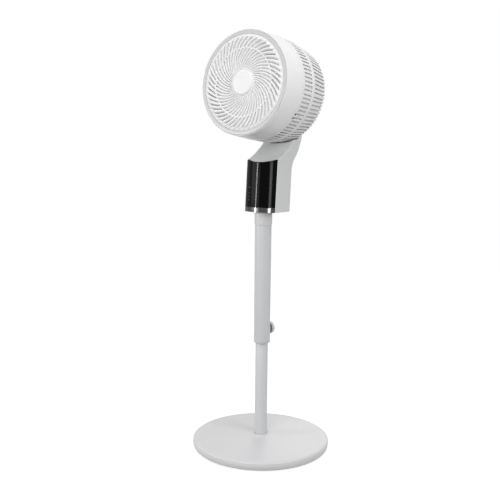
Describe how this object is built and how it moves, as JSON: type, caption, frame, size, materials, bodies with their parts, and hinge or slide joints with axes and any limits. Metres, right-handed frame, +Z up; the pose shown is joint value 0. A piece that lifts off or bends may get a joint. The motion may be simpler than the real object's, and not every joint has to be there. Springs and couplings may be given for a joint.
{
  "type": "air circulator fan",
  "caption": "Pedestal air circulator fan: a drum head with spiral front grille and ribbed rear basket, tilting on an arm, on a telescopic pole and round base.",
  "frame": {"origin": "centre of the round base, on the floor", "axes": "+Z up along the pole, the head blows towards -Y and +X is on its right seen from the front"},
  "size_m": [0.32, 0.32, 0.9457],
  "materials": {
    "white_plastic": "satin moulded",
    "white_paint": "satin powder coat",
    "grey_trim": "satin moulded",
    "black_panel": "polished",
    "chrome": "polished plate",
    "bare_steel": "zinc plated",
    "cast_iron": "as cast",
    "aluminium": "as pressed",
    "brass": "turned",
    "nylon": "moulded",
    "rubber": "moulded",
    "circuit_board": "lacquered",
    "dark_plastic": "moulded"
  },
  "bodies": {
    "root": {"base_cover": "white_plastic", "base_plate": "dark_plastic", "base_weight": "cast_iron", "base_bolt": "bare_steel", "base_foot_1": "rubber", "base_foot_2": "rubber", "base_foot_3": "rubber", "base_foot_4": "rubber", "base_foot_5": "rubber", "base_foot_6": "rubber", "base_foot_7": "rubber", "base_foot_8": "rubber", "tube_foot": "bare_steel", "inner_tube": "white_paint", "tube_plug": "bare_steel", "tube_glide": "nylon"},
    "mast": {"outer_tube": "white_paint", "lower_bush": "white_plastic", "top_collar": "white_plastic", "clamp_boss": "bare_steel", "yaw_post": "bare_steel", "yaw_sector": "nylon", "retaining_ring": "bare_steel", "thrust_washer": "nylon"},
    "shoe": {"clamp_shoe": "brass"},
    "knob": {"height_knob": "white_plastic", "knob_stud": "bare_steel"},
    "neck": {"neck_shell": "white_plastic", "neck_rear_cover": "white_plastic", "control_panel": "black_panel", "chrome_trim": "chrome", "control_board": "circuit_board", "motor_bracket": "bare_steel", "yaw_motor": "aluminium", "power_inlet": "dark_plastic", "cover_screw_1": "bare_steel", "cover_screw_2": "bare_steel", "cover_screw_3": "bare_steel", "cover_screw_4": "bare_steel", "tilt_pin": "bare_steel", "pin_nut": "bare_steel", "friction_washer_left": "dark_plastic", "friction_washer_right": "dark_plastic"},
    "pinion": {"yaw_pinion": "nylon"},
    "head": {"front_shell": "white_plastic", "trim_ring": "grey_trim", "front_grille": "white_plastic", "hub_cap": "white_plastic", "rear_grille": "white_plastic", "motor_cover": "white_plastic", "fan_motor": "aluminium", "tilt_bracket": "white_plastic"},
    "rotor": {"fan_blades": "white_plastic", "motor_shaft": "bare_steel", "blade_nut": "dark_plastic"}
  },
  "joints": [
    {"name": "height_slide", "type": "slide", "parent": "root", "child": "mast", "axis": [0, 0, 1], "range_m": [-0.195, 0]},
    {"name": "shoe_slide", "type": "slide", "parent": "mast", "child": "shoe", "axis": [0, 1, 0], "range_m": [0, 0.0013]},
    {"name": "knob_turn", "type": "hinge", "parent": "shoe", "child": "knob", "pos_m": [0, 0.0228, 0.279], "axis": [0, 1, 0], "range_deg": [0, 360]},
    {"name": "oscillation", "type": "hinge", "parent": "mast", "child": "neck", "pos_m": [0, 0, 0.56], "axis": [0, 0, 1], "range_deg": [-45, 45]},
    {"name": "pinion_spin", "type": "hinge", "parent": "neck", "child": "pinion", "pos_m": [0, 0.0291, 0.5611], "axis": [0, 0, 1], "range_deg": [-142, 142]},
    {"name": "tilt", "type": "hinge", "parent": "neck", "child": "head", "pos_m": [0, 0.102, 0.8154], "axis": [-1, 0, 0], "range_deg": [0, 75]},
    {"name": "fan_spin", "type": "hinge", "parent": "head", "child": "rotor", "pos_m": [0, -0.07916, 0.83284], "axis": [0, -0.9954, 0.0958], "continuous": true}
  ],
  "couplings": [
    {"joint": "shoe_slide", "follows": "knob_turn", "m_per_rad": 0.00019894},
    {"joint": "pinion_spin", "follows": "oscillation", "ratio": 3.1429}
  ]
}
